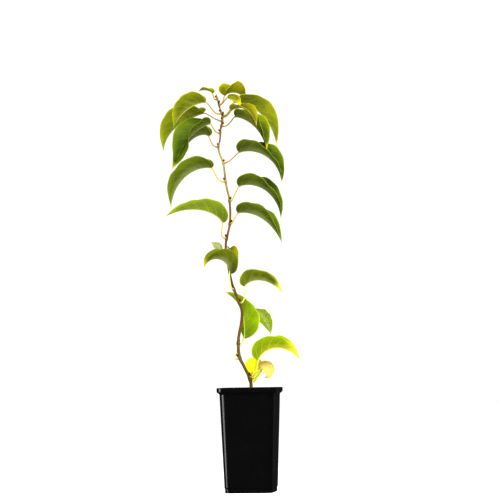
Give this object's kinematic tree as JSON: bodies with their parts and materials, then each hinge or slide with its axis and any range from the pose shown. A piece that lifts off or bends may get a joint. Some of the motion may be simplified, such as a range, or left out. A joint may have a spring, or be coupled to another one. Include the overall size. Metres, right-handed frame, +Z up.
{
  "type": "potted hardy kiwi",
  "caption": "Young hardy kiwi vine with a slender twining stem and arching folded leaves, growing in a tall square nursery pot.",
  "frame": {"origin": "middle of the pot's flat underside", "axes": "+Z up along the plant; +X to the right and +Y away from the viewer as the plant faces the camera"},
  "size_m": [0.2653, 0.1634, 0.7915],
  "materials": {
    "pot_plastic": "near-black moulded plastic with a soft sheen",
    "compost": "dark crumbly compost",
    "bark": "smooth red-brown young bark",
    "leaf_dark": "soft sheen, dark green",
    "leaf_green": "soft sheen, mid green",
    "leaf_light": "soft sheen, light green",
    "leaf_lime": "soft sheen, lime green",
    "leaf_yellow": "soft sheen, yellow",
    "leaf_cream": "matt, withered pale yellow"
  },
  "bodies": {
    "root": {"pot": "pot_plastic", "soil": "compost", "stem": "bark", "leaf_01": "leaf_cream", "leaf_02": "leaf_yellow", "leaf_03": "leaf_lime", "leaf_04": "leaf_lime", "leaf_05": "leaf_light", "leaf_06": "leaf_light", "leaf_07": "leaf_green", "leaf_08": "leaf_light", "leaf_09": "leaf_light", "leaf_10": "leaf_light", "leaf_11": "leaf_dark", "leaf_12": "leaf_dark", "leaf_13": "leaf_dark", "leaf_14": "leaf_dark", "leaf_15": "leaf_dark", "leaf_16": "leaf_dark", "leaf_17": "leaf_green", "leaf_18": "leaf_green", "leaf_19": "leaf_light", "leaf_20": "leaf_light", "leaf_21": "leaf_light", "leaf_22": "leaf_light", "leaf_23": "leaf_light", "leaf_24": "leaf_light"}
  },
  "joints": []
}
